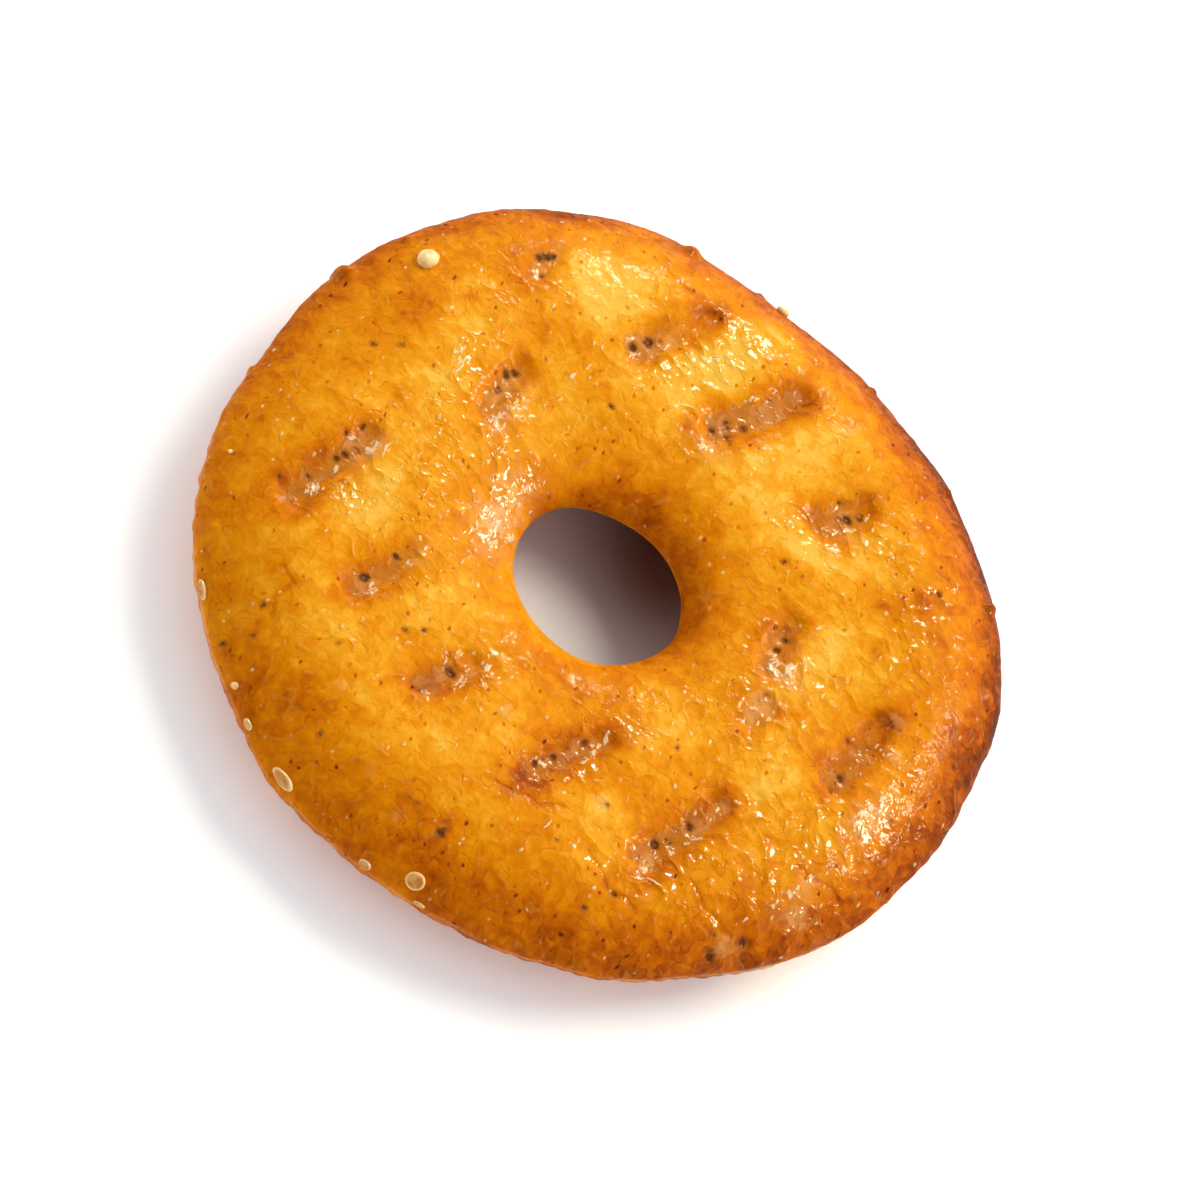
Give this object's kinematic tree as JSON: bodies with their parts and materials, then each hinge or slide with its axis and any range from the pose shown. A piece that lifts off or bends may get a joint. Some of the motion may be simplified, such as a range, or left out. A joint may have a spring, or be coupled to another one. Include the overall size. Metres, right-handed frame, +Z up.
{
  "type": "ring-shaped pretzel biscuit",
  "caption": "Round glazed pretzel biscuit with a hole in the middle: a puffed dough ring with a thin rim, a flatter face with oven-belt dents and a domed, folded face.",
  "frame": {"origin": "under the middle of the ring, on the surface that it rests on", "axes": "+Z up through the hole, out of the face with the oven-belt dents; the domed face is down"},
  "size_m": [0.0544, 0.0544, 0.0081],
  "materials": {
    "crust": "golden baked crust with an uneven satin-to-glossy glaze, browner at the rim"
  },
  "bodies": {
    "root": {"pretzel": "crust"}
  },
  "joints": []
}
